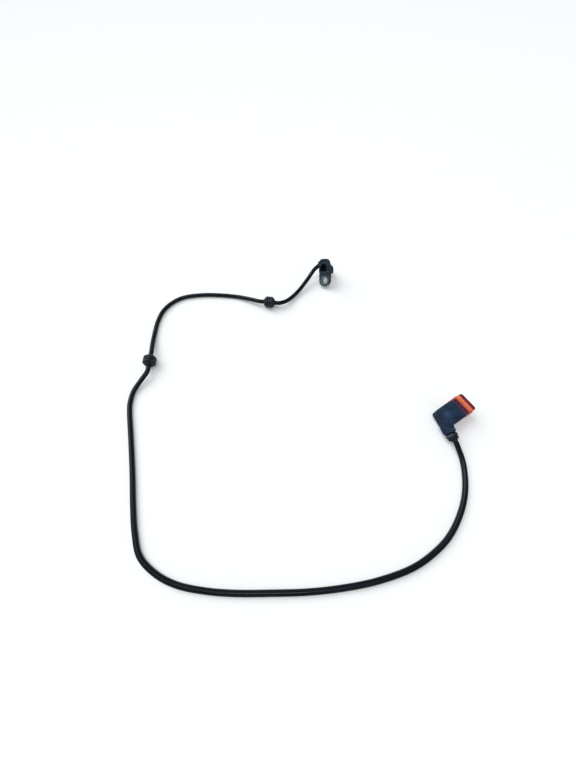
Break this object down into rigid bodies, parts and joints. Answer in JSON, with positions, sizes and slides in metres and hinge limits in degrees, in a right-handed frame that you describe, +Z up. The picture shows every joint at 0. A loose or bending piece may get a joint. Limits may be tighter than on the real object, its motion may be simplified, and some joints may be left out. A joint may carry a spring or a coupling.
{
  "type": "abs wheel speed sensor",
  "caption": "Wheel speed sensor head with a bolt flange, a long round cable with rubber grommets, and an angled sealed plug.",
  "frame": {"origin": "on the floor, under the middle of the sensor head's bounding box", "axes": "+Z up from the floor, +Y along the head's longer side, +X across the head; the cable runs out towards -X and -Y, and the plug points towards +X +Y"},
  "size_m": [0.3386, 0.3521, 0.03],
  "materials": {
    "moulded_plastic": "fine moulded grain, satin",
    "bush_steel": "turned, zinc plated",
    "inner_plastic": "moulded",
    "chip_body": "moulded, satin",
    "magnet": "ground",
    "contact_metal": "tinned brass, stamped",
    "brown_core": "smooth insulation",
    "blue_core": "smooth insulation",
    "cable_jacket": "smooth extruded jacket, semi-gloss",
    "black_rubber": "matt moulded rubber",
    "violet_plastic": "moulded, satin",
    "orange_seal": "silicone rubber, satin",
    "dark_violet_plastic": "moulded, semi-gloss",
    "lock_plastic": "moulded"
  },
  "bodies": {
    "root": {"sensor_housing": "moulded_plastic", "mounting_bush": "bush_steel", "chip_carrier": "inner_plastic", "sensing_chip": "chip_body", "bias_magnet": "magnet", "chip_lead_signal": "contact_metal", "chip_lead_supply": "contact_metal", "lead_splice_signal": "contact_metal", "lead_splice_supply": "contact_metal", "head_core_signal": "brown_core", "head_core_supply": "blue_core", "cable": "cable_jacket", "grommet_near_head": "black_rubber", "grommet_mid_cable": "black_rubber", "plug_cover": "moulded_plastic", "contact_carrier": "violet_plastic", "plug_seal": "orange_seal", "front_retainer": "dark_violet_plastic", "terminal_lock": "lock_plastic", "strain_relief": "black_rubber", "terminal_signal": "contact_metal", "terminal_supply": "contact_metal", "wire_seal_signal": "orange_seal", "wire_seal_supply": "orange_seal", "plug_core_signal": "brown_core", "plug_core_supply": "blue_core"}
  },
  "joints": []
}
